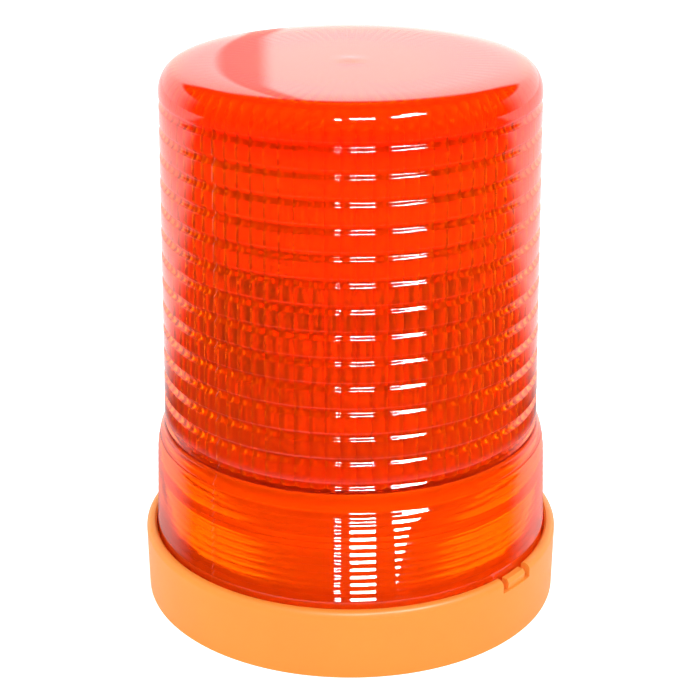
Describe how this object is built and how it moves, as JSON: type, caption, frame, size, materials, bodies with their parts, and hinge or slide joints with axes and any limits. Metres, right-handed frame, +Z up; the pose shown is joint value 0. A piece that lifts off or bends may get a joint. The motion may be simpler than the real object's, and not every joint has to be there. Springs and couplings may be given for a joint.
{
  "type": "rotating beacon",
  "caption": "Rotating warning beacon: amber stepped lens on an orange base, with lamp, turning reflector and geared motor inside.",
  "frame": {"origin": "centre of the mounting face, on the axis of the lens", "axes": "+Z up along the axis of the lens, -Y towards the front"},
  "size_m": [0.1048, 0.1048, 0.1356],
  "materials": {
    "base_orange": "moulded ABS, low sheen",
    "lens_amber": "clear amber polycarbonate",
    "rubber": "moulded",
    "brass": "turned",
    "steel": "zinc plated",
    "motor_steel": "drawn can, nickel plated",
    "deck_grey": "moulded",
    "gear_white": "acetal",
    "mirror_aluminium": "polished",
    "dark_plastic": "moulded",
    "bulb_nickel": "nickel plated",
    "bulb_glass": "clear",
    "solder": "tinned"
  },
  "bodies": {
    "base": {"base_housing": "base_orange", "base_gasket": "rubber", "mounting_inserts": "brass", "cable_grommet": "rubber", "lens_seal": "rubber", "deck_plate": "deck_grey", "deck_screws": "steel", "terminal_block": "dark_plastic", "terminal_screws": "steel", "motor_can": "motor_steel", "motor_end_cap": "dark_plastic", "motor_bush": "brass", "motor_terminals": "brass", "motor_screws": "steel", "idler_pin": "steel", "idler_clip": "steel", "lamp_pillar": "deck_grey", "pillar_screws": "steel", "turntable_bush": "brass", "turntable_clip": "steel", "lampholder_shell": "bulb_nickel", "lampholder_insulator": "dark_plastic", "contact_spring": "steel"},
    "reflector": {"turntable_gear": "gear_white", "reflector_shell": "mirror_aluminium", "reflector_screws": "steel"},
    "idler": {"idler_gear": "gear_white"},
    "motor_rotor": {"motor_shaft": "steel", "motor_pinion": "brass"},
    "lens": {"lens_dome": "lens_amber"},
    "lamp": {"bulb_cap": "bulb_nickel", "bulb_pins": "bulb_nickel", "bulb_insulator": "dark_plastic", "bulb_contact": "solder", "bulb_stem": "bulb_glass", "bulb_leads": "steel", "bulb_filament": "steel", "bulb_glass": "bulb_glass"},
    "plunger": {"contact_plunger": "brass"}
  },
  "joints": [
    {"name": "reflector_spin", "type": "hinge", "parent": "base", "child": "reflector", "pos_m": [0, 0, 0.046], "axis": [0, 0, 1], "continuous": true},
    {"name": "idler_spin", "type": "hinge", "parent": "base", "child": "idler", "pos_m": [0.02575, -0.00362, 0.042], "axis": [0, 0, 1], "continuous": true},
    {"name": "motor_spin", "type": "hinge", "parent": "base", "child": "motor_rotor", "pos_m": [0.02225, 0.01281, 0.04], "axis": [0, 0, 1], "continuous": true},
    {"name": "lens_twist", "type": "hinge", "parent": "base", "child": "lens", "pos_m": [0, 0, 0.023], "axis": [0, 0, 1], "range_deg": [0, 28]},
    {"name": "lamp_push", "type": "slide", "parent": "base", "child": "lamp", "axis": [0, 0, -1], "range_m": [0, 0.0012], "stiffness_N_per_m": 2000, "springref_m": -0.002},
    {"name": "plunger_push", "type": "slide", "parent": "base", "child": "plunger", "axis": [0, 0, -1], "range_m": [0, 0.0012], "deforming": ["contact_spring"]}
  ],
  "couplings": [
    {"joint": "idler_spin", "follows": "reflector_spin", "ratio": -4.9091},
    {"joint": "motor_spin", "follows": "reflector_spin", "ratio": 15.709},
    {"joint": "plunger_push", "follows": "lamp_push", "ratio": 1}
  ]
}
